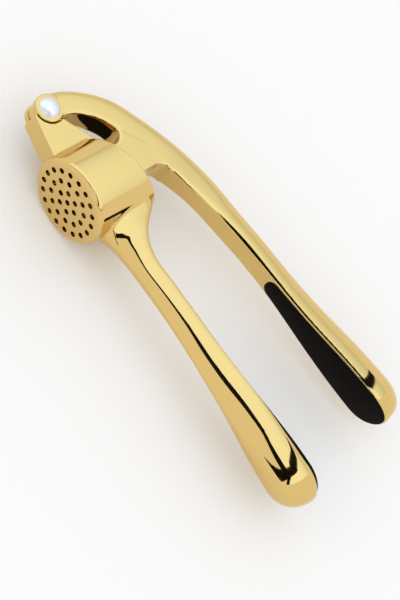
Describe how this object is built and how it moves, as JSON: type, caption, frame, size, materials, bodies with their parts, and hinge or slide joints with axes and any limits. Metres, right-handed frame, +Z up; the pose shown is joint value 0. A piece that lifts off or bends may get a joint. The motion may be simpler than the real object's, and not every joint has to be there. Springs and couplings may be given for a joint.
{
  "type": "garlic press",
  "caption": "Hand garlic press with a perforated barrel, a pinned plunger on a riveted upper handle, and soft pads on the inner faces of both handles.",
  "frame": {"origin": "centre of the bottom of the whole set's box, on the surface that the press lies on", "axes": "the press lies on its side: +X from the hinge to the handle tips, +Y from the perforated plate to the open mouth of the barrel and the upper handle, +Z up along the hinge axis"},
  "size_m": [0.185, 0.0796, 0.0358],
  "materials": {
    "plated_casting": "polished gold-coloured plating on a zinc casting",
    "rivet_steel": "polished",
    "grip_pad": "satin black"
  },
  "bodies": {
    "lower": {"lower_handle": "plated_casting", "lower_grip": "grip_pad"},
    "upper": {"upper_handle": "plated_casting", "upper_grip": "grip_pad", "plunger_pin": "rivet_steel", "hinge_rivet": "rivet_steel", "hinge_rivet_cap": "rivet_steel"},
    "plunger": {"plunger": "plated_casting"}
  },
  "joints": [
    {"name": "handle_hinge", "type": "hinge", "parent": "lower", "child": "upper", "pos_m": [-0.0865, -0.02636, 0.0179], "axis": [0, 0, 1], "range_deg": [-12, 110]},
    {"name": "plunger_pivot", "type": "hinge", "parent": "upper", "child": "plunger", "pos_m": [-0.0522, -0.02275, 0.0179], "axis": [0, 0, 1], "range_deg": [-27.5, 3]}
  ],
  "couplings": [
    {"joint": "plunger_pivot", "follows": "handle_hinge", "ratio": -0.25}
  ]
}
